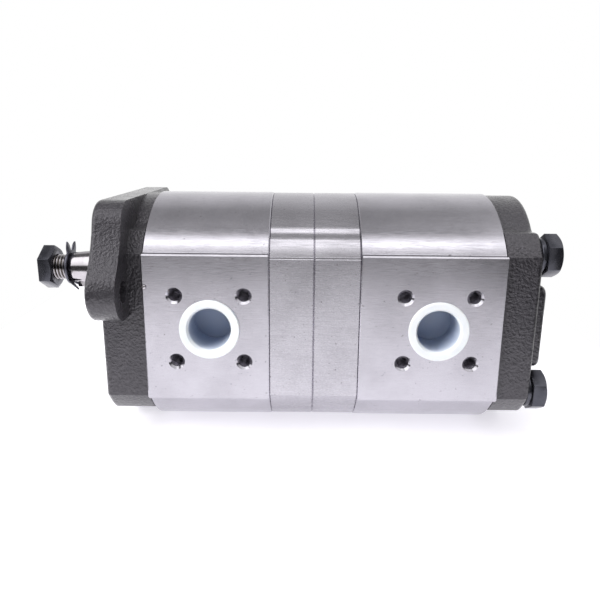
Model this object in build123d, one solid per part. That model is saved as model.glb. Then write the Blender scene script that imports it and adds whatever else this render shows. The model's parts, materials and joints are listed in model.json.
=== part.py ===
from build123d import *
import math
import os

# Tandem external gear pump, in millimetres.
# Origin: centre of the mounting face, on the drive shaft's axis.
# +X runs from the mounting flange to the rear cover, +Z is up, and -Y is the side with the large ports.

# ---------------------------------------------------------------- driving dimensions
CENTRE_DISTANCE = 33.0          # between the drive and the driven gear axes
HOUSING_Z = -CENTRE_DISTANCE / 2
DRIVEN_Z = -CENTRE_DISTANCE

# Lengths of the clamped stack, from the mounting face
COVER_LENGTH = 18.4
FRONT_BODY_LENGTH = 51.5
FRONT_PLATE_LENGTH = 18.4
REAR_PLATE_LENGTH = 19.0
REAR_BODY_LENGTH = 59.0
REAR_COVER_LENGTH = 14.7

FRONT_BODY_X = COVER_LENGTH
FRONT_PLATE_X = FRONT_BODY_X + FRONT_BODY_LENGTH
REAR_PLATE_X = FRONT_PLATE_X + FRONT_PLATE_LENGTH
REAR_BODY_X = REAR_PLATE_X + REAR_PLATE_LENGTH
REAR_COVER_X = REAR_BODY_X + REAR_BODY_LENGTH
BOLT_SEAT_X = REAR_COVER_X + REAR_COVER_LENGTH
JOINT_FACES = (FRONT_BODY_X, FRONT_PLATE_X, REAR_PLATE_X, REAR_BODY_X, REAR_COVER_X)

# Extruded aluminium sections
BODY_R = 52.5
PAD_Y = 45.0                    # half width over the port pads
PAD_HALF_HEIGHT = 31.2
PAD_BEVEL = 0.6
PAD_ROOT_R = 0.8                # hollow where a pad meets the round section
PLATE_PAD_Y = 44.2
PLATE_PAD_HALF_HEIGHT = 29.8
PLATE_PAD_BEVEL = 0.5
PLATE_R = 52.2
PLATE_VALLEY_TURN = 48.0        # soft valleys above and below, in degrees from level
PLATE_VALLEY_R = 8.0
PLATE_VALLEY_DEPTH = 0.35
PLATE_VALLEY_EDGE_R = 8.0
SECTION_EDGE = 0.4              # broken edges of the sections

# Cast covers
LOBE_R = 35.3                   # lobe round each gear axis
BOLT_Y = 33.0
BOLT_HALF_Z = 30.0
CORNER_R = 9.6                  # lug round each through bolt
NOTCH_R = 6.0
COVER_EDGE_R = 2.0
REAR_BOSS_HEIGHT = 5.0
REAR_BOSS_WIDTH = 74.0
REAR_BOSS_TALL = 35.8
REAR_BOSS_Z = HOUSING_Z - 0.8
REAR_BOSS_CORNER_R = 4.0

# Mounting flange
FLANGE_THICKNESS = 12.0
EAR_Y = 49.0                    # mounting holes, on the shaft's level
EAR_R = 11.5
EAR_HOLE_R = 4.5
SHOULDER_Y = 35.5               # rounded upper corners of the flange
SHOULDER_Z = 24.0
SHOULDER_R = 11.3
WAIST_R = 50.0                  # hollow between an ear and a corner
FLANGE_EDGE_R = 2.0
PILOT_R = 25.0
PILOT_LENGTH = 7.0

# Gears
GEAR_TEETH = 11
GEAR_MODULE = 3.0
PRESSURE_ANGLE = math.radians(28)
GEAR_TIP_R = GEAR_MODULE * (GEAR_TEETH / 2 + 1)
GEAR_ROOT_R = GEAR_MODULE * (GEAR_TEETH / 2 - 1.25)
BACKLASH = 0.16                 # thinning of each tooth at the pitch circle
FRONT_GEAR_WIDTH = 15.6
REAR_GEAR_WIDTH = 23.0
FACE_CLEARANCE = 0.05
RUNNING_CLEARANCE = 0.04
CHAMBER_R = GEAR_TIP_R + RUNNING_CLEARANCE

# Journals and bearings
JOURNAL_R = 8.5
LINER_R = 10.0
BLOCK_R = GEAR_TIP_R - 0.02
BLOCK_SEAL_DEPTH = 1.5
AXIAL_SEAL_R = 17.2
AXIAL_SEAL_WIDTH = 1.4
AXIAL_SEAL_SPAN = 36.0          # of the strip, from the pressure side
AXIAL_SEAL_Y = -6.0

# Drive shaft
SHAFT_END_X = -38.9
THREAD_R = 6.0
THREAD_PITCH = 1.5
THREAD_DEPTH = 0.85
THREAD_START_X = -26.6          # thread's end at the taper
TAPER = 1 / 5                   # change of diameter along the length
TAPER_SMALL_R = 6.8
TAPER_LARGE_X = THREAD_START_X + 2 * (JOURNAL_R - TAPER_SMALL_R) / TAPER
KEY_WIDTH = 3.0
KEY_RADIUS = 5.0
KEY_X = -19.0
KEY_CENTRE_R = 8.3              # Woodruff key's centre, from the shaft axis
KEY_TOP_R = 9.3

# Nut and lock washer
NUT_FLATS = 18.0
NUT_X = -39.4
NUT_LENGTH = 6.0
WASHER_THICKNESS = 0.8
WASHER_X = THREAD_START_X - WASHER_THICKNESS - 0.05
WASHER_R = 8.0
TAB_TIP_R = 13.0
TAB_WIDTH = 4.2
TABS = ((-30, 0), (14, 0), (158, 48), (202, 48))    # place round the ring, bend towards the flange

# Coupling sleeve and its splines
SPLINE_TEETH = 9
SPLINE_TIP_R = 7.6
SPLINE_ROOT_R = 6.3
SPLINE_CLEARANCE = 0.05
SPLINE_KEY_WIDTH = 2.4
SLEEVE_R = 11.0
SLEEVE_BORE_R = 11.6
SLEEVE_ENDS = (FRONT_PLATE_X + 4.0, REAR_BODY_X - 4.0)
SLEEVE_EDGE = 0.6
STUB_GAP = 3.0
JOURNAL_END_GAP = 0.4

# Through bolts
BOLT_R = 5.0
BOLT_HOLE_R = 5.3
BOLT_THREAD_HOLE_R = 5.02
BOLT_END_X = 5.5
BOLT_FLATS = 16.0
BOLT_HEAD = 6.0
BOLT_COLLAR_R = 7.3
BOLT_COLLAR = 2.3
BOLT_COLLAR_EDGE = 0.4

# Ports: bore radius, half spacing of the four fixing threads, plug flange radius
PORT_BIG = {"bore": 10.0, "half": 40 / 2 / math.sqrt(2), "flange": 12.5}
PORT_SMALL = {"bore": 7.5, "half": 35 / 2 / math.sqrt(2), "flange": 10.0}
PORT_DEPTH = 18.5
PASSAGE_R = 6.5
PASSAGE_END_Y = 8.0             # the oil passage ends inside the gear chamber
FRONT_PORT_X = 45.4
REAR_PORT_X = 139.8
FIXING_R = 2.5                  # M6 thread's minor radius
FIXING_MOUTH_R = 3.45
FIXING_DEPTH = 13.0
PLUG_PROUD = 1.2
PLUG_LENGTH = 17.5
PLUG_WALL = 1.1
PLUG_CLEARANCE = 0.08
PLUG_RIM_R = 0.45
PLUG_MOUTH = 0.8                # how much wider the cup is at its mouth

# Shaft seal and its retaining ring
SEAL_R = 15.0
SEAL_LENGTH = 7.0
RING_GROOVE_R = 15.8
RING_THICKNESS = 1.2
RING_X = -5.6
SEAL_X = RING_X + RING_THICKNESS
SEAL_FLOOR_X = SEAL_X + SEAL_LENGTH
SEAL_WALL = 1.5
SEAL_WEB = 1.6
RING_INNER_R = 13.2
EYELET_R = 2.0
EYELET_HOLE_R = 0.9
EYELET_Y = 4.2
EYELET_Z = -12.4
COVER_BORE_R = 9.2

# Seals between the sections, dowels and the small joint pin
JOINT_SEAL_R = 24.0
JOINT_SEAL_WIDTH = 2.4
JOINT_SEAL_DEPTH = 2.0
DOWEL_R = 2.5
DOWEL_LENGTH = 12.0
DOWEL_PLACES = ((-BOLT_Y, HOUSING_Z + 8.0), (BOLT_Y, HOUSING_Z - 8.0))
PIN_R = 1.05
PIN_DEPTH = 2.4
PIN_X = FRONT_BODY_X + 0.85
PIN_Z = HOUSING_Z + 17.8

BOLT_PLACES = [(y, HOUSING_Z + z) for y in (-BOLT_Y, BOLT_Y) for z in (-BOLT_HALF_Z, BOLT_HALF_Z)]
EPS = 0.01


# ---------------------------------------------------------------- helpers
def at(x, sketch):
    """A sketch drawn in (Y, Z), placed on the plane X = x."""
    return Plane.YZ.offset(x) * sketch


def prism(x0, x1, sketch):
    """The sketch drawn in (Y, Z), extruded from x0 to x1."""
    return extrude(at(x0, sketch), x1 - x0)


def disc(radius, y=0.0, z=0.0):
    return Pos(y, z) * Circle(radius)


def rod(x0, x1, radius, y=0.0, z=0.0):
    """A cylinder along X."""
    return prism(x0, x1, disc(radius, y, z))


def rod_y(y0, y1, radius, x, z):
    """A cylinder along Y."""
    middle = (y0 + y1) / 2
    return Pos(x, middle, z) * Rot(90, 0, 0) * Cylinder(radius, abs(y1 - y0))


def cone_y(y0, radius0, y1, radius1, x, z):
    """A cone along Y, from radius0 at y0 to radius1 at y1."""
    middle = (y0 + y1) / 2
    turn = 90 if y1 < y0 else -90
    return Pos(x, middle, z) * Rot(turn, 0, 0) * Cone(radius0, radius1, abs(y1 - y0))


def turned(points, z=0.0):
    """A profile of (x, radius) points, turned round the axis Z = z."""
    outline = [(x, z + r) for x, r in points]
    face = make_face(Polyline(*outline, close=True))
    return revolve(Plane.XZ * face, Axis((0, 0, z), (1, 0, 0)), 360)


def figure_eight(radius):
    return disc(radius) + disc(radius, 0, DRIVEN_Z)


def stadium(radius):
    """Both gear axes' circles of one radius, with the straight sides that join them."""
    sides = Rectangle(2 * radius, CENTRE_DISTANCE)
    return figure_eight(radius) + Pos(0, HOUSING_Z) * sides


def write(node, shape):
    solids = shape if isinstance(shape, list) else [shape]
    pieces = [solid for item in solids for solid in item.solids()]
    export_step(Compound(children=pieces) if len(pieces) > 1 else pieces[0], f"parts/{node}.step")


# ---------------------------------------------------------------- outlines
def bevelled_pads(pad_y, half_height, bevel):
    """The two side pads, as one block through the section, with bevelled corners."""
    block = Rectangle(2 * pad_y, 2 * half_height)
    return Pos(0, HOUSING_Z) * chamfer(block.vertices(), bevel)


def hollow_pad_roots(outline, pad_half_height):
    """Rounds the four inner corners where the pads' upper and lower sides meet the round section."""
    at_pad = [v for v in outline.vertices() if abs(abs(v.Y - HOUSING_Z) - pad_half_height) < EPS]
    roots = [v for v in at_pad if abs(v.X) < PAD_Y - 2 * PAD_BEVEL]
    return fillet(roots, PAD_ROOT_R)


def body_outline():
    """Round extrusion with a machined pad at each side."""
    round_part = Pos(0, HOUSING_Z) * (Circle(BODY_R) & Rectangle(2 * PAD_Y, 2 * BODY_R))
    outline = round_part + bevelled_pads(PAD_Y, PAD_HALF_HEIGHT, PAD_BEVEL)
    return hollow_pad_roots(outline, PAD_HALF_HEIGHT)


def cover_outline():
    """Lobes round the gear axes, a lug round each through bolt and straight sides."""
    sides = Rectangle(2 * (BOLT_Y + CORNER_R), 2 * BOLT_HALF_Z)
    outline = stadium(LOBE_R) + Pos(0, HOUSING_Z) * sides
    for y in (-BOLT_Y, BOLT_Y):
        for z in (-BOLT_HALF_Z, BOLT_HALF_Z):
            outline += disc(CORNER_R, y, HOUSING_Z + z)
    lug_top = BOLT_HALF_Z + CORNER_R / 2
    notches = [v for v in outline.vertices() if abs(v.Y - HOUSING_Z) > lug_top]
    return fillet(notches, NOTCH_R) & disc(BODY_R, 0, HOUSING_Z)


def plate_outline():
    """Nearly as round as the bodies, with a pad at each side and a soft valley above each bolt."""
    round_part = Pos(0, HOUSING_Z) * (Circle(PLATE_R) & Rectangle(2 * PLATE_PAD_Y, 2 * PLATE_R))
    outline = round_part + bevelled_pads(PLATE_PAD_Y, PLATE_PAD_HALF_HEIGHT, PLATE_PAD_BEVEL)
    outline = hollow_pad_roots(outline, PLATE_PAD_HALF_HEIGHT)
    reach = PLATE_R - PLATE_VALLEY_DEPTH + PLATE_VALLEY_R
    turn = math.radians(PLATE_VALLEY_TURN)
    for y in (-1, 1):
        for z in (-1, 1):
            valley_z = HOUSING_Z + z * reach * math.sin(turn)
            outline -= disc(PLATE_VALLEY_R, y * reach * math.cos(turn), valley_z)
    lips = [v for v in outline.vertices() if abs(v.Y - HOUSING_Z) > PLATE_PAD_HALF_HEIGHT + 2]
    return fillet(lips, PLATE_VALLEY_EDGE_R)


def tangent_blend(centre_a, radius_a, centre_b, radius_b, blend_r):
    """Start, middle and end of a hollow arc that touches two circles from outside."""
    gap = math.dist(centre_a, centre_b)
    reach_a = radius_a + blend_r
    reach_b = radius_b + blend_r
    along = (reach_a ** 2 - reach_b ** 2 + gap ** 2) / (2 * gap)
    aside = math.sqrt(reach_a ** 2 - along ** 2)
    ux = (centre_b[0] - centre_a[0]) / gap
    uy = (centre_b[1] - centre_a[1]) / gap
    centre = (centre_a[0] + along * ux - aside * uy, centre_a[1] + along * uy + aside * ux)

    def touch(circle_centre):
        away = math.dist(centre, circle_centre)
        return tuple(c + (p - c) * blend_r / away for c, p in zip(centre, circle_centre))

    start = touch(centre_a)
    end = touch(centre_b)
    halfway = ((start[0] + end[0]) / 2, (start[1] + end[1]) / 2)
    return start, touch(halfway), end


def flange_outline():
    """Mounting plate: two ears on the shaft's level and two rounded upper corners."""
    ear = (-EAR_Y, 0.0)
    shoulder = (-SHOULDER_Y, SHOULDER_Z)
    low, middle, high = tangent_blend(ear, EAR_R, shoulder, SHOULDER_R, WAIST_R)
    top = SHOULDER_Z + SHOULDER_R
    edge = ThreePointArc(low, middle, high)
    edge += Polyline(high, shoulder, (-SHOULDER_Y, top), (0, top), (0, -EAR_R), (-EAR_Y, -EAR_R), ear, low)
    half = make_face(edge) + disc(EAR_R, *ear) + disc(SHOULDER_R, *shoulder)
    return half + mirror(half, Plane.YZ)


# ---------------------------------------------------------------- gears
def involute_point(base_r, radius, offset):
    """A point on a flank that starts at the base circle, turned by offset."""
    roll = math.sqrt((radius / base_r) ** 2 - 1)
    angle = offset + roll - math.atan(roll)
    return (radius * math.cos(angle), radius * math.sin(angle))


def gear_outline():
    """Involute outline with one tooth pointing to -Z."""
    pitch_r = GEAR_MODULE * GEAR_TEETH / 2
    base_r = pitch_r * math.cos(PRESSURE_ANGLE)
    involute = math.tan(PRESSURE_ANGLE) - PRESSURE_ANGLE
    half_tooth = math.pi / (2 * GEAR_TEETH) - BACKLASH / 2 / pitch_r
    flank_start = -half_tooth - involute
    steps = 7
    radii = [base_r + (GEAR_TIP_R - base_r) * (i / steps) ** 1.5 for i in range(steps + 1)]
    rising = [involute_point(base_r, r, flank_start) for r in radii]
    falling = [(x, -y) for x, y in reversed(rising)]
    root_in = (GEAR_ROOT_R * math.cos(flank_start), GEAR_ROOT_R * math.sin(flank_start))
    root_out = (root_in[0], -root_in[1])
    pitch = 2 * math.pi / GEAR_TEETH
    root_next = (GEAR_ROOT_R * math.cos(flank_start + pitch), GEAR_ROOT_R * math.sin(flank_start + pitch))
    root_mid = (GEAR_ROOT_R * math.cos(pitch / 2), GEAR_ROOT_R * math.sin(pitch / 2))
    tooth = [
        Line(root_in, rising[0]),
        Spline(*rising),
        ThreePointArc(rising[-1], (GEAR_TIP_R, 0), falling[0]),
        Spline(*falling),
        Line(falling[-1], root_out),
        ThreePointArc(root_out, root_mid, root_next),
    ]
    turns = [math.degrees(pitch) * k - 90 for k in range(GEAR_TEETH)]
    edges = [Rot(0, 0, turn) * edge for turn in turns for edge in tooth]
    return make_face(edges)


def spline_outline(grow):
    """Straight-sided splines; grow opens the outline for the sleeve."""
    outline = Circle(SPLINE_ROOT_R + grow)
    key = Pos((SPLINE_TIP_R + grow) / 2, 0) * Rectangle(SPLINE_TIP_R + grow, SPLINE_KEY_WIDTH + 2 * grow)
    for k in range(SPLINE_TEETH):
        outline += Rot(0, 0, 360 / SPLINE_TEETH * k) * key
    return outline & Circle(SPLINE_TIP_R + grow)


# ---------------------------------------------------------------- shared cuts
def bolt_holes(x0, x1, radius):
    return [rod(x0, x1, radius, y, z) for y, z in BOLT_PLACES]


def dowel_holes(face_x):
    half = DOWEL_LENGTH / 2 + 0.5
    return [rod(face_x - half, face_x + half, DOWEL_R, y, z) for y, z in DOWEL_PLACES]


def joint_seal_ring(face_x, gap=0.0):
    """Stadium ring on the rear side of a joint face; gap opens it into a groove."""
    ring = stadium(JOINT_SEAL_R + gap) - stadium(JOINT_SEAL_R - JOINT_SEAL_WIDTH - gap)
    return prism(face_x, face_x + JOINT_SEAL_DEPTH + gap, ring)


def port_cut(port, port_x, side):
    """Bore, oil passage and four threaded holes, from the pad to the gear chamber."""
    face = side * PAD_Y
    cuts = [rod_y(face, side * (PAD_Y - PORT_DEPTH), port["bore"], port_x, HOUSING_Z)]
    cuts.append(rod_y(face, side * PASSAGE_END_Y, PASSAGE_R, port_x, HOUSING_Z))
    for dx in (-port["half"], port["half"]):
        for dz in (-port["half"], port["half"]):
            x = port_x + dx
            z = HOUSING_Z + dz
            cuts.append(rod_y(face, side * (PAD_Y - FIXING_DEPTH), FIXING_R, x, z))
            mouth_end = side * (PAD_Y - (FIXING_MOUTH_R - FIXING_R))
            cuts.append(cone_y(face, FIXING_MOUTH_R, mouth_end, FIXING_R, x, z))
    return cuts


def break_end_edges(section, x0, x1):
    """Small chamfer round both ends of a section."""
    ends = [e for e in section.edges() if abs(e.center().X - x0) < EPS or abs(e.center().X - x1) < EPS]
    return chamfer(ends, SECTION_EDGE)


# ---------------------------------------------------------------- housing castings
def front_cover():
    body = prism(0, COVER_LENGTH, cover_outline())
    plate = prism(0, FLANGE_THICKNESS, flange_outline())
    cover = body + plate
    front_edges = [e for e in cover.edges() if abs(e.center().X) < EPS]
    cover = fillet(front_edges, FLANGE_EDGE_R)
    cover += rod(-PILOT_LENGTH, 2 * FLANGE_EDGE_R, PILOT_R)
    pilot_edge = [e for e in cover.edges() if abs(e.center().X + PILOT_LENGTH) < EPS]
    cover = chamfer(pilot_edge, 1.0)
    cover -= rod(-PILOT_LENGTH - 1, SEAL_FLOOR_X, SEAL_R)
    cover -= rod(RING_X, RING_X + RING_THICKNESS, RING_GROOVE_R)
    cover -= rod(0, COVER_LENGTH + 1, COVER_BORE_R)
    for side in (-1, 1):
        cover -= rod(-1, FLANGE_THICKNESS + 1, EAR_HOLE_R, side * EAR_Y, 0)
    cover -= bolt_holes(BOLT_END_X - 1.5, COVER_LENGTH + 1, BOLT_THREAD_HOLE_R)
    cover -= dowel_holes(FRONT_BODY_X)
    return cover


def pump_body(x0, length, port_x):
    """Aluminium body with a figure-eight gear chamber and a port at each side."""
    x1 = x0 + length
    body = prism(x0, x1, body_outline())
    body = break_end_edges(body, x0, x1)
    body -= prism(x0 - 1, x1 + 1, figure_eight(CHAMBER_R))
    body -= port_cut(PORT_BIG, port_x, -1)
    body -= port_cut(PORT_SMALL, port_x, 1)
    body -= bolt_holes(x0 - 1, x1 + 1, BOLT_HOLE_R)
    body -= joint_seal_ring(x0, 0.1)
    body -= dowel_holes(x0) + dowel_holes(x1)
    return body


def front_body():
    body = pump_body(FRONT_BODY_X, FRONT_BODY_LENGTH, FRONT_PORT_X)
    return body - rod_y(-PAD_Y - 1, -PAD_Y + PIN_DEPTH, PIN_R + 0.02, PIN_X, PIN_Z)


def intermediate_plate(x0, length):
    """Aluminium plate between the two pumps, bored for the coupling sleeve."""
    x1 = x0 + length
    plate = prism(x0, x1, plate_outline())
    plate = break_end_edges(plate, x0, x1)
    plate -= rod(x0 - 1, x1 + 1, SLEEVE_BORE_R)
    plate -= bolt_holes(x0 - 1, x1 + 1, BOLT_HOLE_R)
    plate -= joint_seal_ring(x0, 0.1)
    plate -= dowel_holes(x0) + dowel_holes(x1)
    return plate


def rear_cover():
    cover = prism(REAR_COVER_X, BOLT_SEAT_X, cover_outline())
    rim = [e for e in cover.edges() if abs(e.center().X - BOLT_SEAT_X) < EPS]
    cover = fillet(rim, COVER_EDGE_R)
    panel = RectangleRounded(REAR_BOSS_WIDTH, REAR_BOSS_TALL, REAR_BOSS_CORNER_R)
    boss_outline = Pos(0, REAR_BOSS_Z) * panel
    boss = prism(BOLT_SEAT_X - 1, BOLT_SEAT_X + REAR_BOSS_HEIGHT, boss_outline)
    boss_rim = [e for e in boss.edges() if abs(e.center().X - BOLT_SEAT_X - REAR_BOSS_HEIGHT) < EPS]
    cover += fillet(boss_rim, COVER_EDGE_R)
    cover -= bolt_holes(REAR_COVER_X - 1, BOLT_SEAT_X + 1, BOLT_HOLE_R)
    cover -= joint_seal_ring(REAR_COVER_X, 0.1)
    cover -= dowel_holes(REAR_COVER_X)
    return cover


# ---------------------------------------------------------------- fasteners
def hexagon(flats):
    """A hexagon with corners at top and bottom and a flat to each side."""
    return RegularPolygon(flats / 2, 6, major_radius=False, rotation=30)


def hex_block(x0, x1, flats):
    """A hexagonal prism with its corners turned off at 30 degrees at the end x1."""
    corner_r = flats / math.sqrt(3)
    end_r = flats / 2 * 0.97
    drop = (corner_r - end_r) * math.tan(math.radians(30))
    profile = [(x0, 0), (x0, corner_r + 1), (x1 - drop, corner_r + 1)]
    profile += [(x1 - drop, corner_r), (x1, end_r), (x1, 0)]
    return prism(x0, x1, hexagon(flats)) & turned(profile)


def through_bolt(y, z):
    head_x = BOLT_SEAT_X + BOLT_COLLAR
    bolt = hex_block(head_x, head_x + BOLT_HEAD, BOLT_FLATS)
    bolt += rod(BOLT_END_X, head_x, BOLT_R)
    return Pos(0, y, z) * bolt


def bolt_washer(y, z):
    ring = rod(BOLT_SEAT_X, BOLT_SEAT_X + BOLT_COLLAR, BOLT_COLLAR_R, y, z)
    ring = chamfer(ring.edges(), BOLT_COLLAR_EDGE)
    return ring - rod(BOLT_SEAT_X - 1, BOLT_SEAT_X + BOLT_COLLAR + 1, BOLT_HOLE_R, y, z)


def shaft_nut():
    nut = hex_block(NUT_X, NUT_X + NUT_LENGTH, NUT_FLATS)
    nut -= rod(NUT_X - 1, NUT_X + NUT_LENGTH + 1, THREAD_R + 0.03)
    return nut


def lock_washer():
    """Flat ring with four pointed tabs: the upper pair stands up, the lower pair is bent back."""
    outer = WASHER_X + WASHER_THICKNESS
    ring = rod(WASHER_X, outer, WASHER_R)
    root = WASHER_R - 0.7
    half = TAB_WIDTH / 2
    length = TAB_TIP_R - root
    leaf = make_face(
        Spline((-half, 0), (-half * 0.9, length * 0.45), (0, length))
        + Spline((0, length), (half * 0.9, length * 0.45), (half, 0))
        + Line((half, 0), (-half, 0))
    )
    blade = prism(0, WASHER_THICKNESS * 0.8, leaf)
    for turn, lean in TABS:
        ring += Rot(turn, 0, 0) * Pos(WASHER_X + 0.1, 0, root) * Rot(0, lean, 0) * blade
    return ring - rod(WASHER_X - 2, outer + 0.5, THREAD_R + 0.03)


# ---------------------------------------------------------------- shafts and gears
def thread_profile(x0, x1):
    """Zigzag of a thread, as turned ridges, from x0 towards x1."""
    count = int((x1 - x0) / THREAD_PITCH)
    points = []
    for k in range(count):
        crest = x0 + k * THREAD_PITCH
        points += [(crest, THREAD_R), (crest + 0.2, THREAD_R)]
        points += [(crest + 0.8, THREAD_R - THREAD_DEPTH), (crest + 0.9, THREAD_R - THREAD_DEPTH)]
    return points


def gear_span(body_x, front_block, width):
    """Where a gear begins and ends inside its body."""
    x0 = body_x + front_block + FACE_CLEARANCE
    return x0, x0 + width


FRONT_BLOCK_A = FRONT_PORT_X - FRONT_GEAR_WIDTH / 2 - FACE_CLEARANCE - FRONT_BODY_X
REAR_BLOCK_A = REAR_PORT_X - REAR_GEAR_WIDTH / 2 - FACE_CLEARANCE - REAR_BODY_X
FRONT_GEAR = gear_span(FRONT_BODY_X, FRONT_BLOCK_A, FRONT_GEAR_WIDTH)
REAR_GEAR = gear_span(REAR_BODY_X, REAR_BLOCK_A, REAR_GEAR_WIDTH)
STUB_MIDDLE = (FRONT_PLATE_X + REAR_BODY_X) / 2


def drive_shaft():
    """Front gear in one piece with its journals, tapered end, thread and rear splines."""
    profile = [(SHAFT_END_X, 0), (SHAFT_END_X, THREAD_R - 0.9), (SHAFT_END_X + 0.9, THREAD_R)]
    profile += thread_profile(SHAFT_END_X + 1.2, THREAD_START_X - 1.0)
    profile += [(THREAD_START_X - 0.8, THREAD_R), (THREAD_START_X, THREAD_R)]
    profile += [(THREAD_START_X, TAPER_SMALL_R)]
    profile += [(TAPER_LARGE_X, JOURNAL_R), (FRONT_PLATE_X + 1.0, JOURNAL_R), (FRONT_PLATE_X + 1.0, 0)]
    shaft = turned(profile)
    shaft += prism(*FRONT_GEAR, gear_outline())
    shaft += prism(FRONT_PLATE_X, STUB_MIDDLE - STUB_GAP / 2, spline_outline(0))
    return shaft - key_seat()


def key_seat():
    """Half-round slot of the Woodruff key, on the underside of the taper."""
    return Pos(KEY_X, 0, -KEY_CENTRE_R) * Rot(90, 0, 0) * Cylinder(KEY_RADIUS, KEY_WIDTH)


def shaft_key():
    key = Pos(KEY_X, 0, -KEY_CENTRE_R) * Rot(90, 0, 0) * Cylinder(KEY_RADIUS - 0.02, KEY_WIDTH - 0.04)
    keep = Pos(KEY_X, 0, -KEY_TOP_R / 2) * Box(4 * KEY_RADIUS, 2 * KEY_WIDTH, KEY_TOP_R)
    return key & keep


def gear_on_journals(span, x0, x1, z):
    gear = prism(*span, Pos(0, z) * gear_outline())
    gear += rod(x0, x1, JOURNAL_R, 0, z)
    return gear


def driven_gear(span, body_x, body_length):
    journal_end = body_x + body_length - JOURNAL_END_GAP
    return gear_on_journals(span, body_x + JOURNAL_END_GAP, journal_end, DRIVEN_Z)


def rear_drive_gear():
    """Rear gear, with a splined stub that reaches forward into the coupling sleeve."""
    gear = gear_on_journals(REAR_GEAR, REAR_BODY_X - 1.0, REAR_COVER_X - JOURNAL_END_GAP, 0)
    return gear + prism(STUB_MIDDLE + STUB_GAP / 2, REAR_BODY_X, spline_outline(0))


def coupling_sleeve():
    sleeve = rod(*SLEEVE_ENDS, SLEEVE_R)
    sleeve = chamfer(sleeve.edges(), SLEEVE_EDGE)
    return sleeve - prism(SLEEVE_ENDS[0] - 1, SLEEVE_ENDS[1] + 1, spline_outline(SPLINE_CLEARANCE))


# ---------------------------------------------------------------- bearings and seals
def axial_seal(x0, x1, gap=0.0):
    """Strip shaped like a 3, round one side of a bearing block."""
    strip = figure_eight(AXIAL_SEAL_R + gap) - figure_eight(AXIAL_SEAL_R - AXIAL_SEAL_WIDTH - gap)
    reach = Pos(AXIAL_SEAL_Y - gap, HOUSING_Z) * Rectangle(AXIAL_SEAL_SPAN + 4 * gap, 4 * CENTRE_DISTANCE)
    return prism(x0, x1, strip & reach)


def bearing_block(x0, x1, seal_x):
    block = prism(x0, x1, figure_eight(BLOCK_R))
    for z in (0, DRIVEN_Z):
        block -= rod(x0 - 1, x1 + 1, LINER_R, 0, z)
    inward = BLOCK_SEAL_DEPTH if seal_x == x0 else -BLOCK_SEAL_DEPTH
    outward = -inward
    groove = sorted((seal_x + inward, seal_x + outward))
    return block - axial_seal(*groove, 0.05)


def bearing_liners(x0, x1):
    liners = []
    for z in (0, DRIVEN_Z):
        tube = rod(x0, x1, LINER_R - EPS, 0, z)
        liners.append(tube - rod(x0 - 1, x1 + 1, JOURNAL_R + 0.03, 0, z))
    return liners


def shaft_seal():
    """Rubber-covered lip seal with a hollow inner side."""
    seal = rod(SEAL_X, SEAL_FLOOR_X, SEAL_R - EPS)
    hollow = rod(SEAL_X + SEAL_WEB, SEAL_FLOOR_X + 1, SEAL_R - SEAL_WALL)
    seal -= hollow - rod(SEAL_X, SEAL_FLOOR_X, JOURNAL_R + SEAL_WALL)
    return seal - rod(SEAL_X - 1, SEAL_FLOOR_X + 1, JOURNAL_R + 0.03)


def seal_retaining_ring():
    """Open snap ring with two eyelets."""
    ring = disc(RING_GROOVE_R - 0.05) - disc(RING_INNER_R)
    opening = Rectangle(2 * (EYELET_Y - EYELET_R) + 0.6, 2 * EYELET_Y)
    ring -= Pos(0, -RING_INNER_R - EYELET_R / 2) * opening
    for side in (-1, 1):
        ring += disc(EYELET_R, side * EYELET_Y, EYELET_Z)
        ring -= disc(EYELET_HOLE_R, side * EYELET_Y, EYELET_Z)
    return prism(RING_X + 0.05, RING_X + RING_THICKNESS - 0.05, ring)


def port_plug(port, port_x, side):
    """Thin-walled cup with a flat flange that lies on the pad."""
    face = side * PAD_Y
    tube_r = port["bore"] - PLUG_CLEARANCE
    inner = tube_r - PLUG_WALL
    plug = rod_y(face + side * EPS, face - side * PLUG_LENGTH, tube_r, port_x, HOUSING_Z)
    flange = rod_y(face + side * EPS, face + side * PLUG_PROUD, port["flange"], port_x, HOUSING_Z)
    rim = [e for e in flange.edges() if abs(e.center().Y) > PAD_Y + PLUG_PROUD / 2]
    plug += fillet(rim, PLUG_RIM_R)
    hollow_end = face - side * (PLUG_LENGTH - PLUG_WALL)
    plug -= rod_y(face + side * (PLUG_PROUD + 1), hollow_end, inner, port_x, HOUSING_Z)
    rim_y = face + side * PLUG_PROUD
    mouth_y = face - side * 0.2
    return plug - cone_y(rim_y, inner + PLUG_MOUTH, mouth_y, inner, port_x, HOUSING_Z)


def joint_pin():
    """Short pin pressed into the edge of the front body, with a domed head."""
    stem = rod_y(-PAD_Y + PIN_DEPTH, -PAD_Y, PIN_R, PIN_X, PIN_Z)
    dome = Pos(PIN_X, -PAD_Y, PIN_Z) * Sphere(PIN_R)
    return stem + (dome & Pos(PIN_X, -PAD_Y, PIN_Z) * Box(3, 2 * PIN_R, 3))


# ---------------------------------------------------------------- build
os.makedirs("parts", exist_ok=True)

write("front_cover", front_cover())
write("front_body", front_body())
write("front_intermediate_plate", intermediate_plate(FRONT_PLATE_X, FRONT_PLATE_LENGTH))
write("rear_intermediate_plate", intermediate_plate(REAR_PLATE_X, REAR_PLATE_LENGTH))
write("rear_body", pump_body(REAR_BODY_X, REAR_BODY_LENGTH, REAR_PORT_X))
write("rear_cover", rear_cover())

write("through_bolts", [through_bolt(y, z) for y, z in BOLT_PLACES])
write("bolt_washers", [bolt_washer(y, z) for y, z in BOLT_PLACES])
dowels = []
for face_x in JOINT_FACES:
    for y, z in DOWEL_PLACES:
        dowels.append(rod(face_x - DOWEL_LENGTH / 2, face_x + DOWEL_LENGTH / 2, DOWEL_R - EPS, y, z))
write("dowel_pins", dowels)
write("joint_pin", joint_pin())

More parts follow.
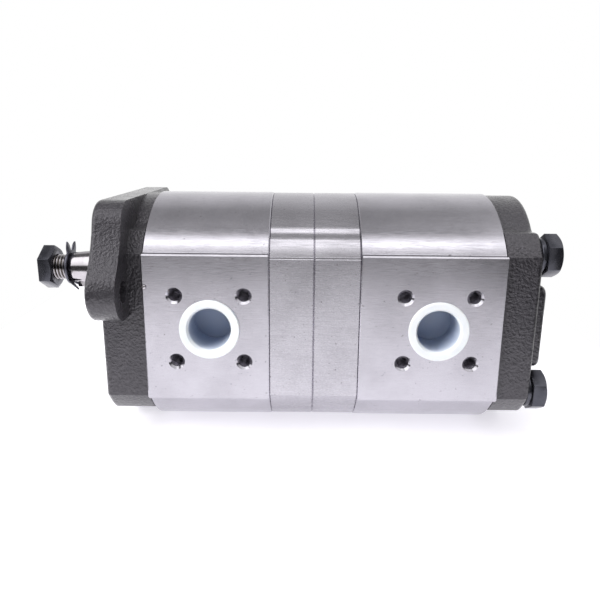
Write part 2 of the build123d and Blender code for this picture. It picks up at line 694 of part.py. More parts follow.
SEALED_JOINTS = ("front_cover", "front_plate", "middle_plate", "rear_plate", "rear_cover")
for joint, face_x in zip(SEALED_JOINTS, JOINT_FACES):
    write(f"{joint}_seal", joint_seal_ring(face_x))

PUMPS = {
    "front_pump": (FRONT_BODY_X, FRONT_BODY_LENGTH, FRONT_GEAR),
    "rear_pump": (REAR_BODY_X, REAR_BODY_LENGTH, REAR_GEAR),
}
for pump, (body_x, body_length, gear) in PUMPS.items():
    body_end = body_x + body_length
    blocks = {
        "front": (body_x, gear[0] - FACE_CLEARANCE, body_x),
        "rear": (gear[1] + FACE_CLEARANCE, body_end, body_end),
    }
    for place, (x0, x1, seal_x) in blocks.items():
        inward = BLOCK_SEAL_DEPTH if seal_x == x0 else -BLOCK_SEAL_DEPTH
        write(f"{pump}_{place}_bearing_block", bearing_block(x0, x1, seal_x))
        write(f"{pump}_{place}_bearing_liners", bearing_liners(x0, x1))
        seal_span = sorted((seal_x, seal_x + inward))
        write(f"{pump}_{place}_axial_seal", axial_seal(*seal_span))

write("shaft_seal", shaft_seal())
write("seal_retaining_ring", seal_retaining_ring())
write("drive_shaft", drive_shaft())
write("shaft_key", shaft_key())
write("lock_washer", lock_washer())
write("shaft_nut", shaft_nut())
write("coupling_sleeve", coupling_sleeve())
write("front_driven_gear", driven_gear(FRONT_GEAR, FRONT_BODY_X, FRONT_BODY_LENGTH))
write("rear_drive_gear", rear_drive_gear())
write("rear_driven_gear", driven_gear(REAR_GEAR, REAR_BODY_X, REAR_BODY_LENGTH))

write("front_suction_plug", port_plug(PORT_BIG, FRONT_PORT_X, -1))
write("rear_suction_plug", port_plug(PORT_BIG, REAR_PORT_X, -1))
write("front_pressure_plug", port_plug(PORT_SMALL, FRONT_PORT_X, 1))
write("rear_pressure_plug", port_plug(PORT_SMALL, REAR_PORT_X, 1))
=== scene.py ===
# %% [markdown]
# # A tandem gear pump, finished for a studio picture
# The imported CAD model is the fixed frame: it brings every casting, shaft, bolt and plug in metres, in place.
# This script adds what a camera notices first: the camera itself, a small studio, finishes with real surface
# detail, and a few pieces with finer shapes than the CAD ones, such as a true helical thread.

# %% Load the frame
import json
import math

import bmesh
import bpy
from mathutils import Matrix, Vector


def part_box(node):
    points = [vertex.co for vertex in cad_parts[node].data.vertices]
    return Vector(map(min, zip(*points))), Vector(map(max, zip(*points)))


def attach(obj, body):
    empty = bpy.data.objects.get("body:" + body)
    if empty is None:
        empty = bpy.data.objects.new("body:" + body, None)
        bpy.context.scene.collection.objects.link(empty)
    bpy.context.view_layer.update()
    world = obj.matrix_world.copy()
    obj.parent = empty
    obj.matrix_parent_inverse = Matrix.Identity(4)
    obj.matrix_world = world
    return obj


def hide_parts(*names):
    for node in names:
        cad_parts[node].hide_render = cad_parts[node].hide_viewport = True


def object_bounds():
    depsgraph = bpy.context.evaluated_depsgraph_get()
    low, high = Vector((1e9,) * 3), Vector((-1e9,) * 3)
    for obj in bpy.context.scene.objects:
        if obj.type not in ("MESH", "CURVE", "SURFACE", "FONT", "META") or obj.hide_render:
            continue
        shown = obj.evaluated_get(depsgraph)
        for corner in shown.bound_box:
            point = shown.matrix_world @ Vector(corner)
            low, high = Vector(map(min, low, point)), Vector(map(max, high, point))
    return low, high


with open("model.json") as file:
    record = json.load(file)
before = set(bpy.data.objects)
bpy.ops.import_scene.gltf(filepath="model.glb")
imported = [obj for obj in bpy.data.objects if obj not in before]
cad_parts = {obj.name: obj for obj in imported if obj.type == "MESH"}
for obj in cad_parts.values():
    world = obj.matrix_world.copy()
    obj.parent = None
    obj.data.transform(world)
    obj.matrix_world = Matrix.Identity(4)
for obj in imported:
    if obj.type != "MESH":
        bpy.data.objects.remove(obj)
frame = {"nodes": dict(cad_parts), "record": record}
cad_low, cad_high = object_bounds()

MM = 0.001
nodes = frame["nodes"]
print("nodes:", len(nodes), "box:", [round(v / MM, 1) for v in (*cad_low, *cad_high)])

# %% [markdown]
# ## Places that everything else is measured from
# The drive shaft turns about the X axis at Z = 0 and the housing's centre lies half a gear distance below it.
# Boxes of the nodes give the joints between the sections, so nothing here is typed twice.

# %% Named places
body_low, body_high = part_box("front_body")
housing_z = (body_low.z + body_high.z) / 2
pad_y = body_low.y
floor_z = cad_low.z
middle = (cad_low + cad_high) / 2
print("housing axis z:", round(housing_z / MM, 2), "pad y:", round(pad_y / MM, 2))

# %% [markdown]
# ## The camera
# A studio picture of a part this size is taken from close by, with a wide view, looking slightly down.
# The camera stands level with the middle of the pump, a little above it, and leans by under half a degree.
# Building the rotation from three directions keeps pan, tilt and lean apart.

# %% Camera
CAMERA_PLACE = Vector((84.2, -281.9, 58.5)) * MM
CAMERA_LENS = 36.14
CAMERA_PAN = math.radians(-0.38)
CAMERA_TILT = math.radians(14.68)
CAMERA_LEAN = math.radians(0.47)


def make_camera():
    data = bpy.data.cameras.new("camera")
    data.lens = CAMERA_LENS
    data.sensor_width = 36
    data.clip_start = 0.01
    camera = bpy.data.objects.new("camera", data)
    bpy.context.scene.collection.objects.link(camera)
    forward = Vector((math.sin(CAMERA_PAN) * math.cos(CAMERA_TILT),
                      math.cos(CAMERA_PAN) * math.cos(CAMERA_TILT),
                      -math.sin(CAMERA_TILT)))
    level = Vector((math.cos(CAMERA_PAN), -math.sin(CAMERA_PAN), 0))
    upright = level.cross(forward)
    right = level * math.cos(CAMERA_LEAN) + upright * math.sin(CAMERA_LEAN)
    up = upright * math.cos(CAMERA_LEAN) - level * math.sin(CAMERA_LEAN)
    turn = Matrix((right, up, -forward)).transposed().to_4x4()
    camera.matrix_world = Matrix.Translation(CAMERA_PLACE) @ turn
    bpy.context.scene.camera = camera
    return camera


camera = make_camera()
print("camera at", [round(v / MM, 1) for v in camera.location])

# %% [markdown]
# ## A small studio
# Bare metal shows its surroundings, so the studio matters as much as the finish. Behind and above the pump is
# a pale wall, overhead is a dark gap, and in front and high up is a soft light: the round sections then show a
# pale band, a grey band and a bright streak. All of it is one gradient round the X axis, from the floor in
# front, over the top, to the wall behind. The floor is a pale table top that glows with painted light,
# brightest under the pump and fading towards its front edge, and beyond it the camera sees plain white.

# %% Studio helpers
WHITE = (1.0, 1.0, 1.0, 1.0)


def link(tree, source, target):
    tree.links.new(source, target)


def node(tree, kind, **settings):
    made = tree.nodes.new(kind)
    for name, value in settings.items():
        setattr(made, name, value)
    return made


def ramp(tree, stops, interpolation="LINEAR"):
    """A colour ramp of (place, grey or colour) stops."""
    made = node(tree, "ShaderNodeValToRGB")
    band = made.color_ramp
    band.interpolation = interpolation
    while len(band.elements) > 1:
        band.elements.remove(band.elements[-1])
    for index, (place, value) in enumerate(stops):
        stop = band.elements[0] if index == 0 else band.elements.new(place)
        stop.position = place
        stop.color = value if isinstance(value, tuple) else (value, value, value, 1.0)
    return made


def maths(tree, operation, first, second=None):
    made = node(tree, "ShaderNodeMath", operation=operation)
    for socket, value in zip(made.inputs, (first, second)):
        if isinstance(value, (int, float)):
            socket.default_value = value
        elif value is not None:
            link(tree, value, socket)
    return made.outputs[0]


def spread(tree, value, low, high, out_low, out_high):
    made = node(tree, "ShaderNodeMapRange")
    link(tree, value, made.inputs["Value"])
    for name, number in (("From Min", low), ("From Max", high), ("To Min", out_low), ("To Max", out_high)):
        made.inputs[name].default_value = number
    return made.outputs[0]


# %% The surroundings
# Angle round the X axis in degrees, from the floor in front (-90) over the front wall (0) and the ceiling
# (90) to the wall behind (180), with the brightness seen there.
SURROUNDINGS = (
    (-90, 0.50), (-30, 0.50), (-12, 0.42), (0, 0.34), (30, 0.30), (56, 0.34), (65, 0.42), (70, 1.9),
    (73, 3.1), (77, 3.0), (80, 1.5), (85, 0.5), (90, 0.40), (97, 0.55), (104, 0.44), (120, 0.42),
    (128, 0.62), (140, 0.80), (160, 0.98), (180, 1.20), (215, 0.9), (270, 0.5),
)

# Well to the left and right the room is different: a dark gap at eye level and a broad soft light above it.
LEFT_SIDE = (
    (-90, 0.50), (-40, 0.46), (-24, 0.34), (-16, 0.07), (18, 0.06), (25, 1.6), (60, 2.4), (88, 2.0),
    (94, 0.16), (126, 0.18), (134, 0.62), (180, 0.7), (215, 0.6), (270, 0.5),
)
RIGHT_SIDE = (
    (-90, 0.40), (-50, 0.30), (-34, 0.10), (-24, 0.03), (34, 0.03), (44, 0.4), (62, 1.0), (80, 1.4),
    (100, 0.9), (135, 0.8), (180, 0.9), (215, 0.7), (270, 0.5),
)
# The sides take over between these shares of a view direction's length along X.
SIDE_STARTS = 0.28
SIDE_FULL = 0.34
# A ramp's colours stop at 1, so it holds a quarter of each brightness and the world is four times as strong.
WORLD_STRENGTH = 4.0


def round_gradient(tree, share, stops):
    """Brightness for a share of the turn, from stops in degrees."""
    made = ramp(tree, [((angle + 90) / 360, bright / WORLD_STRENGTH) for angle, bright in stops])
    link(tree, share, made.inputs[0])
    return made.outputs[0]


def make_world():
    world = bpy.data.worlds.new("studio")
    bpy.context.scene.world = world
    world.use_nodes = True
    tree = world.node_tree
    tree.nodes.clear()
    direction = node(tree, "ShaderNodeTexCoord").outputs["Generated"]
    parts = node(tree, "ShaderNodeSeparateXYZ")
    link(tree, direction, parts.inputs[0])
    forward = maths(tree, "MULTIPLY", parts.outputs["Y"], -1.0)
    angle = maths(tree, "ARCTAN2", parts.outputs["Z"], forward)
    # arctan2 jumps from 180 to -180 behind the pump, so the ramp starts straight below it
    turned = maths(tree, "ADD", angle, math.pi / 2)
    wrapped = maths(tree, "WRAP", turned, 2 * math.pi)
    share = maths(tree, "DIVIDE", wrapped, 2 * math.pi)
    colour = round_gradient(tree, share, SURROUNDINGS)
    for side, stops in ((-1, LEFT_SIDE), (1, RIGHT_SIDE)):
        far = maths(tree, "MULTIPLY", parts.outputs["X"], side)
        mixed = node(tree, "ShaderNodeMix", data_type="RGBA")
        link(tree, spread(tree, far, SIDE_STARTS, SIDE_FULL, 0, 1), mixed.inputs["Factor"])
        link(tree, colour, mixed.inputs[6])
        link(tree, round_gradient(tree, share, stops), mixed.inputs[7])
        colour = mixed.outputs[2]
    room = node(tree, "ShaderNodeBackground")
    link(tree, colour, room.inputs["Color"])
    room.inputs["Strength"].default_value = WORLD_STRENGTH
    paper = node(tree, "ShaderNodeBackground")
    paper.inputs["Color"].default_value = WHITE
    paper.inputs["Strength"].default_value = 1.0
    rays = node(tree, "ShaderNodeLightPath")
    mix = node(tree, "ShaderNodeMixShader")
    link(tree, rays.outputs["Is Camera Ray"], mix.inputs[0])
    link(tree, room.outputs[0], mix.inputs[1])
    link(tree, paper.outputs[0], mix.inputs[2])
    link(tree, mix.outputs[0], node(tree, "ShaderNodeOutputWorld").inputs["Surface"])


make_world()
bpy.context.scene.view_settings.view_transform = "Standard"

# %% Lights
LIGHTS = {
    "overhead": {"place": (60, -60, 600), "size": 0.35, "power": 3.0, "glossy": False},
    "front_left": {"place": (-420, -380, 330), "size": 0.3, "power": 4.0, "glossy": False},
}


def make_light(name, place, size, power, glossy):
    data = bpy.data.lights.new(name, "AREA")
    data.shape = "SQUARE"
    data.size = size
    data.energy = power
    light = bpy.data.objects.new(name, data)
    light.location = Vector(place) * MM
    aim = middle - light.location
    light.rotation_mode = "QUATERNION"
    light.rotation_quaternion = aim.to_track_quat("-Z", "Y")
    light.visible_glossy = glossy
    bpy.context.scene.collection.objects.link(light)
    return light


for name, settings in LIGHTS.items():
    make_light(name, **settings)

# %% [markdown]
# ## Finishes
# Each finish is a short function that starts from the same bench: object coordinates, so a pattern stays on
# its piece when the piece moves, and a principled shader. Noise at two or three sizes gives what a camera sees
# up close: sand grain on the castings, mill lines on the aluminium, dull patches on the black oxide.

# %% Bench for every finish
def bench(name, metallic=0.0, roughness=0.5, specular=0.5):
    material = bpy.data.materials.new(name)
    material.use_nodes = True
    tree = material.node_tree
    shader = tree.nodes["Principled BSDF"]
    shader.inputs["Metallic"].default_value = metallic
    shader.inputs["Roughness"].default_value = roughness
    shader.inputs["Specular IOR Level"].default_value = specular
    place = node(tree, "ShaderNodeTexCoord").outputs["Object"]
    return material, tree, shader, place


def noise(tree, place, grains_per_mm, detail=2.0, stretch=(1, 1, 1)):
    """Noise with that many grains to the millimetre, stretched along the axes."""
    mapping = node(tree, "ShaderNodeMapping")
    mapping.inputs["Scale"].default_value = stretch
    link(tree, place, mapping.inputs["Vector"])
    made = node(tree, "ShaderNodeTexNoise")
    made.inputs["Scale"].default_value = grains_per_mm / MM
    made.inputs["Detail"].default_value = detail
    link(tree, mapping.outputs[0], made.inputs["Vector"])
    return made.outputs["Fac"]


def blend_colours(tree, factor, first, second):
    made = node(tree, "ShaderNodeMix", data_type="RGBA")
    link(tree, factor, made.inputs["Factor"])
    for socket, value in ((made.inputs[6], first), (made.inputs[7], second)):
        if isinstance(value, tuple):
            socket.default_value = value
        else:
            link(tree, value, socket)
    return made.outputs[2]


def bump(tree, shader, height, strength, distance_mm, below=None):
    made = node(tree, "ShaderNodeBump")
    made.inputs["Strength"].default_value = strength
    made.inputs["Distance"].default_value = distance_mm * MM
    link(tree, height, made.inputs["Height"])
    if below is not None:
        link(tree, below, made.inputs["Normal"])
    link(tree, made.outputs[0], shader.inputs["Normal"])
    return made.outputs[0]


# %% Floor
FLOOR_HALF_WIDTH = 0.20
FLOOR_HALF_DEPTH = 0.36
FLOOR_COLOUR = (0.5, 0.5, 0.5, 1.0)
# Painted glow of the table, from its far front edge to under the pump, where it is brightest: (place along Y
# in metres, brightness)
FLOOR_PAINTED_GLOW = (
    (-0.36, 0.16), (-0.33, 0.20), (-0.29, 0.27), (-0.235, 0.44), (-0.19, 0.60), (-0.145, 0.74),
    (-0.115, 0.86), (-0.07, 0.93), (-0.05, 1.0), (0.10, 1.0),
)
FLOOR_GLOW_TINT = (0.945, 0.925, 1.0)
FLOOR_GLOW_STRENGTH = 0.69


def make_floor():
    mesh = bpy.data.meshes.new("floor")
    bm = bmesh.new()
    bmesh.ops.create_grid(bm, x_segments=1, y_segments=1, size=1.0)
    bmesh.ops.scale(bm, verts=bm.verts, vec=(FLOOR_HALF_WIDTH, FLOOR_HALF_DEPTH, 1))
    bmesh.ops.translate(bm, verts=bm.verts, vec=(middle.x, 0, floor_z))
    bm.to_mesh(mesh)
    bm.free()
    floor = bpy.data.objects.new("floor", mesh)
    bpy.context.scene.collection.objects.link(floor)
    material, tree, shader, place = bench("glowing_floor", roughness=0.9, specular=0.0)
    parts = node(tree, "ShaderNodeSeparateXYZ")
    link(tree, place, parts.inputs[0])
    along = spread(tree, parts.outputs["Y"], -FLOOR_HALF_DEPTH, FLOOR_HALF_DEPTH, 0.0, 1.0)
    stops = []
    for y, bright in FLOOR_PAINTED_GLOW:
        colour = tuple(bright * tint for tint in FLOOR_GLOW_TINT) + (1.0,)
        stops.append(((y + FLOOR_HALF_DEPTH) / FLOOR_HALF_DEPTH / 2, colour))
    glow = ramp(tree, stops)
    link(tree, along, glow.inputs[0])
    # painted light: the table glows by itself, brightest under the pump and dimmer towards its front edge
    link(tree, glow.outputs[0], shader.inputs["Emission Color"])
    shader.inputs["Emission Strength"].default_value = FLOOR_GLOW_STRENGTH
    shader.inputs["Base Color"].default_value = FLOOR_COLOUR
    mesh.materials.append(material)
    return floor


floor = make_floor()

# %% Cast iron
IRON_HOLLOW_SHADE = (0.037, 0.034, 0.041, 1)
IRON_PEBBLE_HIGHLIGHT = (0.062, 0.057, 0.067, 1)
IRON_PATCHES = (0.041, 0.038, 0.046, 1)
OIL_FILM = 0.6
OIL_ROUGHNESS = 0.2


def cast_iron():
    """Dark oiled iron with a pebbled sand skin in two sizes of grain; the colour follows the pebbles, with
    painted shade in the hollows and painted highlight on the tops.
    """
    material, tree, shader, place = bench("cast_iron", metallic=0.6, specular=0.6)
    pebbles = noise(tree, place, 0.9, detail=2)
    grit = noise(tree, place, 2.4, detail=2)
    patches = noise(tree, place, 0.06, detail=2)
    # painted shade and highlight: the noise that raises the pebbles also colours them, dark in the hollows and
    # light on the tops
    tone = blend_colours(tree, spread(tree, pebbles, 0.35, 0.7, 0, 1), IRON_HOLLOW_SHADE, IRON_PEBBLE_HIGHLIGHT)
    tone = blend_colours(tree, spread(tree, patches, 0.4, 0.62, 0, 0.5), tone, IRON_PATCHES)
    link(tree, tone, shader.inputs["Base Color"])
    link(tree, spread(tree, patches, 0.35, 0.65, 0.27, 0.36), shader.inputs["Roughness"])
    fine = bump(tree, shader, grit, 0.45, 0.2)
    skin = bump(tree, shader, pebbles, 0.7, 0.5, below=fine)
    # a thin film of oil over the skin
    shader.inputs["Coat Weight"].default_value = OIL_FILM
    shader.inputs["Coat Roughness"].default_value = OIL_ROUGHNESS
    link(tree, skin, shader.inputs["Coat Normal"])
    return material


# %% Aluminium
SPARKLE = (0.70, 0.68, 0.73, 1)
SPECKS = (0.16, 0.15, 0.16, 1)


def darker(colour, share):
    return tuple(v * share for v in colour[:3]) + (1.0,)


def aluminium(name, colour, roughness, grain_along=(1, 1, 1)):
    """Satin aluminium: clouds, fine sparkle, a few dark specks, and mill lines along the stretched axis."""
    material, tree, shader, place = bench(name, metallic=1.0)
    clouds = noise(tree, place, 0.06, detail=4)
    sparkle = noise(tree, place, 3.0, detail=1)
    lines = noise(tree, place, 1.6, detail=2, stretch=grain_along)
    specks = noise(tree, place, 1.1, detail=1)
    tone = blend_colours(tree, spread(tree, clouds, 0.38, 0.66, 0, 0.9), colour, darker(colour, 0.84))
    tone = blend_colours(tree, spread(tree, sparkle, 0.35, 0.75, 0, 0.32), tone, SPARKLE)
    tone = blend_colours(tree, spread(tree, specks, 0.735, 0.78, 0, 0.8), tone, SPECKS)
    link(tree, tone, shader.inputs["Base Color"])
    gloss = spread(tree, lines, 0.3, 0.7, roughness - 0.05, roughness + 0.06)
    link(tree, gloss, shader.inputs["Roughness"])
    fine = bump(tree, shader, sparkle, 0.16, 0.05)
    bump(tree, shader, lines, 0.10, 0.06, below=fine)
    return material


# %% Black oxide
OXIDE_DARK = (0.068, 0.069, 0.084, 1)
OXIDE_WORN = (0.098, 0.098, 0.115, 1)


def black_oxide():
    """Oiled black oxide: almost black where it faces dark, blue-grey where it faces light."""
    material, tree, shader, place = bench("black_oxide", metallic=0.85)
    wear = noise(tree, place, 0.25, detail=2)
    fine = noise(tree, place, 5.0, detail=1)
    tone = blend_colours(tree, spread(tree, wear, 0.4, 0.7, 0, 1), OXIDE_DARK, OXIDE_WORN)
    link(tree, tone, shader.inputs["Base Color"])
    link(tree, spread(tree, wear, 0.3, 0.7, 0.20, 0.29), shader.inputs["Roughness"])
    bump(tree, shader, fine, 0.08, 0.03)
    return material


# %% Ground steel
STEEL = (0.50, 0.475, 0.50, 1)
STEEL_STAINED = (0.39, 0.37, 0.39, 1)
THREAD_GROOVE_SHADE = (0.075, 0.066, 0.060, 1)
THREAD_END = -27.6 * MM
THREAD_R = 6.0 * MM


def distance_from_x_axis(tree, place):
    across = node(tree, "ShaderNodeVectorMath", operation="MULTIPLY")
    link(tree, place, across.inputs[0])
    across.inputs[1].default_value = (0, 1, 1)
    length = node(tree, "ShaderNodeVectorMath", operation="LENGTH")
    link(tree, across.outputs[0], length.inputs[0])
    return length.outputs["Value"]


def ground_steel():
    """Steel ground round its own axis; painted shade darkens the thread's flanks and roots, and only its
    crests keep the steel's colour.
    """
    material, tree, shader, place = bench("ground_steel", metallic=1.0)
    rings = noise(tree, place, 3.0, detail=2, stretch=(1, 0.05, 0.05))
    stains = noise(tree, place, 0.2, detail=3)
    tone = blend_colours(tree, spread(tree, stains, 0.4, 0.8, 0, 1), STEEL, STEEL_STAINED)
    radius = distance_from_x_axis(tree, place)
    # painted shade in the thread grooves: below the crests the colour turns dark
    flanks = spread(tree, radius, THREAD_R - 0.5 * MM, THREAD_R - 0.15 * MM, 1, 0)
    along = node(tree, "ShaderNodeSeparateXYZ")
    link(tree, place, along.inputs[0])
    threaded = spread(tree, along.outputs["X"], THREAD_END + 0.2 * MM, THREAD_END, 0, 1)
    tone = blend_colours(tree, maths(tree, "MULTIPLY", flanks, threaded), tone, THREAD_GROOVE_SHADE)
    link(tree, tone, shader.inputs["Base Color"])
    link(tree, spread(tree, rings, 0.3, 0.7, 0.10, 0.22), shader.inputs["Roughness"])
    bump(tree, shader, rings, 0.12, 0.03)
    return material


# %% Spring steel, bronze and rubber
def plain_finish(name, light, dark, metallic, low, high, grains):
    """A finish with one noise that drives tone, gloss and relief."""
    material, tree, shader, place = bench(name, metallic=metallic)
    grain = noise(tree, place, grains, detail=3)
    link(tree, blend_colours(tree, grain, light, dark), shader.inputs["Base Color"])
    link(tree, spread(tree, grain, 0.3, 0.7, low, high), shader.inputs["Roughness"])
    bump(tree, shader, grain, 0.15, 0.05)
    return material


# %% White plastic
# From the bottom of a plug's cup to its rim on the pad.
PLUG_DEPTH = 9 * MM
# Colour by depth in the cup, from its bottom to its rim: painted shade darkens the deep inside, over the
# blue-grey of thin plastic over dark metal.
PLUG_TONES_AND_CUP_SHADE = (
    (0.0, (0.37, 0.43, 0.56, 1)), (0.6, (0.47, 0.53, 0.65, 1)), (0.9, (0.62, 0.67, 0.75, 1)),
    (1.0, (0.76, 0.78, 0.80, 1)),
)
PLUG_FLOW = (0.55, 0.58, 0.63, 1)
PLUG_SCATTER = (0.0010, 0.0012, 0.0016)


def white_polythene():
    """Thin white plastic: milky at the rim, darker and bluer deeper in the cup, as painted shade inside the
    cup over the blue-grey of thin plastic over dark metal.
    """
    material, tree, shader, place = bench("white_polythene", roughness=0.38, specular=0.45)
    shader.inputs["Subsurface Weight"].default_value = 0.25
    shader.inputs["Subsurface Radius"].default_value = PLUG_SCATTER
    shader.inputs["Subsurface Scale"].default_value = 1.0
    parts = node(tree, "ShaderNodeSeparateXYZ")
    link(tree, place, parts.inputs[0])
    out = maths(tree, "ABSOLUTE", parts.outputs["Y"])
    depth = spread(tree, out, abs(pad_y) - PLUG_DEPTH, abs(pad_y) + 0.2 * MM, 0.0, 1.0)
    shade = ramp(tree, PLUG_TONES_AND_CUP_SHADE)
    link(tree, depth, shade.inputs[0])
    flow = noise(tree, place, 0.12, detail=2)
    dull = blend_colours(tree, spread(tree, flow, 0.35, 0.7, 0, 0.18), shade.outputs[0], PLUG_FLOW)
    link(tree, dull, shader.inputs["Base Color"])
    bump(tree, shader, noise(tree, place, 1.2, detail=1), 0.08, 0.05)
    return material


# %% A finish for every node
BODY_COLOUR = (0.475, 0.460, 0.505, 1)
PLATE_COLOUR = (0.465, 0.450, 0.490, 1)
BLOCK_COLOUR = (0.72, 0.72, 0.73, 1)
SPRING = {"light": (0.09, 0.09, 0.115, 1), "dark": (0.16, 0.16, 0.19, 1), "metallic": 0.9,
          "low": 0.28, "high": 0.42, "grains": 1.5}
BRONZE = {"light": (0.50, 0.33, 0.15, 1), "dark": (0.62, 0.44, 0.22, 1), "metallic": 1.0,
          "low": 0.35, "high": 0.5, "grains": 2.0}
RUBBER = {"light": (0.02, 0.02, 0.02, 1), "dark": (0.04, 0.04, 0.04, 1), "metallic": 0.0,
          "low": 0.5, "high": 0.7, "grains": 1.5}
FINISHES = {
    "cast_iron": cast_iron(),
    "body_aluminium": aluminium("body_aluminium", BODY_COLOUR, 0.20, grain_along=(0.12, 1, 1)),
    "plate_aluminium": aluminium("plate_aluminium", PLATE_COLOUR, 0.27, grain_along=(0.08, 1, 1)),
    "block_aluminium": aluminium("block_aluminium", BLOCK_COLOUR, 0.35),
    "black_steel": black_oxide(),
    "spring_steel": plain_finish("spring_steel", **SPRING),
    "ground_steel": ground_steel(),
    "liner_bronze": plain_finish("liner_bronze", **BRONZE),
    "seal_rubber": plain_finish("seal_rubber", **RUBBER),
    "plug_plastic": white_polythene(),
}

for part in frame["record"]["subparts"]:
    mesh = nodes[part["node"]].data
    mesh.materials.clear()
    mesh.materials.append(FINISHES[part["material_slot"]])
print("finishes:", sorted(FINISHES))

# %% [markdown]
# ## Broken edges
# A turned or forged steel piece never has a knife edge: tumbling and handling leave a small round that catches
# the light as a thin bright line. Each black steel piece is copied, the flat triangles of one face are joined
# again, and every edge sharper than 25 degrees gets a small round.

# %% Soft-edged copies of steel pieces
SHARP = math.radians(25)


def copy_of(node_name):
    """A merged copy of a CAD node's mesh, ready to work on."""
    bm = bmesh.new()
    bm.from_mesh(nodes[node_name].data)
    bmesh.ops.remove_doubles(bm, verts=bm.verts, dist=0.002 * MM)
    bmesh.ops.recalc_face_normals(bm, faces=bm.faces)
    return bm


def show(bm, name, material, stands_for, body="housing", smooth=30):
    """Turns a bmesh into a shown piece that rides on its body and stands for a CAD node."""
    mesh = bpy.data.meshes.new(name)
    bmesh.ops.recalc_face_normals(bm, faces=bm.faces)
    bm.to_mesh(mesh)
    bm.free()
    for face in mesh.polygons:
        face.use_smooth = True
    mesh.set_sharp_from_angle(angle=math.radians(smooth))
    mesh.materials.append(FINISHES[material])
    piece = bpy.data.objects.new(name, mesh)
    bpy.context.scene.collection.objects.link(piece)
    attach(piece, body)
    if stands_for:
        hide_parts(stands_for)
    print(name, "faces:", len(mesh.polygons))
    return piece


def round_edges(bm, size_mm, segments=2):
    bmesh.ops.dissolve_limit(bm, angle_limit=math.radians(1.0), verts=bm.verts, edges=bm.edges)
    sharp = [edge for edge in bm.edges if edge.is_manifold and edge.calc_face_angle() > SHARP]
    bmesh.ops.bevel(bm, geom=sharp, offset=size_mm * MM, offset_type="OFFSET", segments=segments, profile=0.5,
                    affect="EDGES", clamp_overlap=True, material=-1)


SOFT_EDGED = {
    "shaft_nut": ("black_steel", "drive_shaft", 0.28),
    "through_bolts": ("black_steel", "housing", 0.28),
    "bolt_washers": ("black_steel", "housing", 0.2),
    "lock_washer": ("spring_steel", "drive_shaft", 0.15),
}
for source, (finish, body, size) in SOFT_EDGED.items():
    work = copy_of(source)
    round_edges(work, size)
    show(work, source + ".soft", finish, source, body)

# %% [markdown]
# ## The threaded end of the shaft
# The thread is cut M12 with a 1.5 mm pitch. One turn of its profile is swept round the shaft while it moves
# along it, so it is a true helix and not a stack of rings. The rest of the shaft is a copy of the CAD shaft,
# cut off where the thread begins, and a plain core fills the thread.

# %% A helix from a profile
def helix(bm, profile, axis_point, axis, pitch, turns, steps=40):
    """Sweeps a profile of points round an axis, moving one pitch along it each turn."""
    verts = [bm.verts.new(point) for point in profile]
    edges = [bm.edges.new(pair) for pair in zip(verts, verts[1:])]
    count = int(steps * turns)
    made = bmesh.ops.spin(bm, geom=verts + edges, cent=axis_point, axis=axis, angle=2 * math.pi * turns,
                          dvec=Vector(axis) * pitch * turns / count, steps=count, use_merge=False)
    for ends in (verts, [part for part in made["geom_last"] if isinstance(part, bmesh.types.BMVert)]):
        bmesh.ops.contextual_create(bm, geom=ends)
    bmesh.ops.remove_doubles(bm, verts=bm.verts, dist=0.005 * MM)


# %% Shaft
THREAD_START = -37.7 * MM
THREAD_PITCH = 1.5 * MM
THREAD_DEPTH = 0.85 * MM
shaft_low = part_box("drive_shaft")[0]
work = copy_of("drive_shaft")
cut = bmesh.ops.bisect_plane(work, geom=work.verts[:] + work.edges[:] + work.faces[:], dist=0.0001 * MM,
                             plane_co=(THREAD_END - 0.1 * MM, 0, 0), plane_no=(1, 0, 0), clear_inner=True)
rim = [part for part in cut["geom_cut"] if isinstance(part, bmesh.types.BMEdge)]
bmesh.ops.holes_fill(work, edges=rim, sides=0)
print("shaft after the cut:", len(work.faces))

# %% Thread and core
turns = (THREAD_END - THREAD_START) / THREAD_PITCH - 0.8
root = THREAD_R - THREAD_DEPTH
crest = THREAD_R - 0.02 * MM
half = THREAD_PITCH / 2
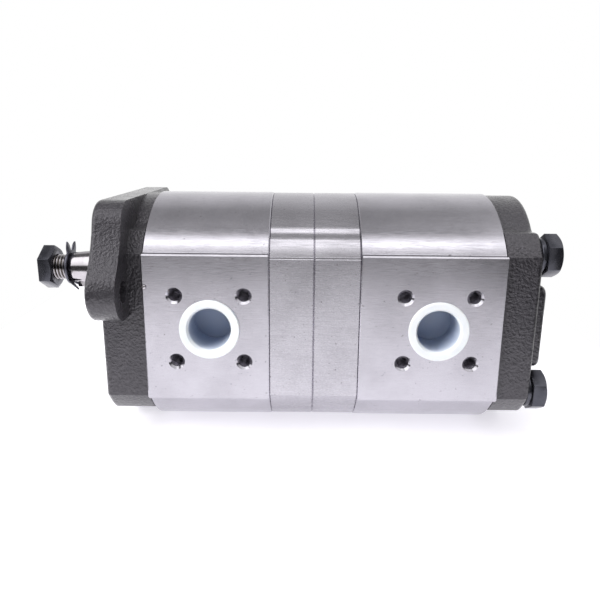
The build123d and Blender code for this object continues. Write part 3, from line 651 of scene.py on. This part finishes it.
# one ridge: (place along the pitch in halves, radius)
ridge = ((0, root), (0.12, root), (0.88, crest), (1.12, crest), (1.88, root), (2, root))
profile = [(THREAD_START + along * half, 0, radius) for along, radius in ridge]
helix(work, profile, (THREAD_START, 0, 0), (1, 0, 0), THREAD_PITCH, turns)
core_r = root + 0.02 * MM
core = bmesh.ops.create_cone(work, cap_ends=True, segments=48, radius1=core_r, radius2=core_r,
                             depth=THREAD_END - shaft_low.x)
lay_down = Matrix.Rotation(math.pi / 2, 3, "Y")
bmesh.ops.rotate(work, verts=core["verts"], cent=(0, 0, 0), matrix=lay_down)
bmesh.ops.translate(work, verts=core["verts"], vec=((THREAD_END + shaft_low.x) / 2, 0, 0))
show(work, "drive_shaft.threaded", "ground_steel", "drive_shaft", "drive_shaft")

# %% [markdown]
# ## Threads in the port fixing holes
# The CAD holes are plain, at the size of the drill. Each gets the thread that a tap would leave: a ridge with
# one millimetre pitch that winds down the hole. The eight on a side share one mesh.

# %% Tapped holes
HOLE_R = 2.5 * MM
TAP_PITCH = 1.0 * MM
TAP_TURNS = 10
LARGE_SPACING = 20.0 * MM
SMALL_SPACING = 17.5 * MM


def tapped_hole(side):
    """The points and faces of one ridge that winds in from the pad at side (-1 or 1), round X = Z = 0."""
    bm = bmesh.new()
    start = side * (abs(pad_y) - 1.5 * MM)
    wall = HOLE_R + 0.02 * MM
    crest = HOLE_R - 0.30 * MM
    ridge = ((0, wall), (0.42, crest), (0.58, crest), (1, wall))
    points = [(radius, start - side * along * TAP_PITCH, 0) for along, radius in ridge]
    helix(bm, points, (0, 0, 0), (0, -side, 0), TAP_PITCH, TAP_TURNS, steps=20)
    mesh = bpy.data.meshes.new("tapped_hole")
    bm.to_mesh(mesh)
    bm.free()
    return mesh


port_x = [sum(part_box(plug), Vector()).x / 2 for plug in ("front_suction_plug", "rear_suction_plug")]
print("ports at x:", [round(x / MM, 2) for x in port_x])
work = bmesh.new()
for side, spacing in ((-1, LARGE_SPACING), (1, SMALL_SPACING)):
    single = tapped_hole(side)
    half = spacing * math.sqrt(0.5)
    for x in port_x:
        for dx, dz in ((-half, -half), (-half, half), (half, -half), (half, half)):
            before = set(work.verts)
            work.from_mesh(single)
            fresh = [vert for vert in work.verts if vert not in before]
            bmesh.ops.translate(work, verts=fresh, vec=(x + dx, 0, housing_z + dz))
show(work, "port_threads", "body_aluminium", None, "housing")
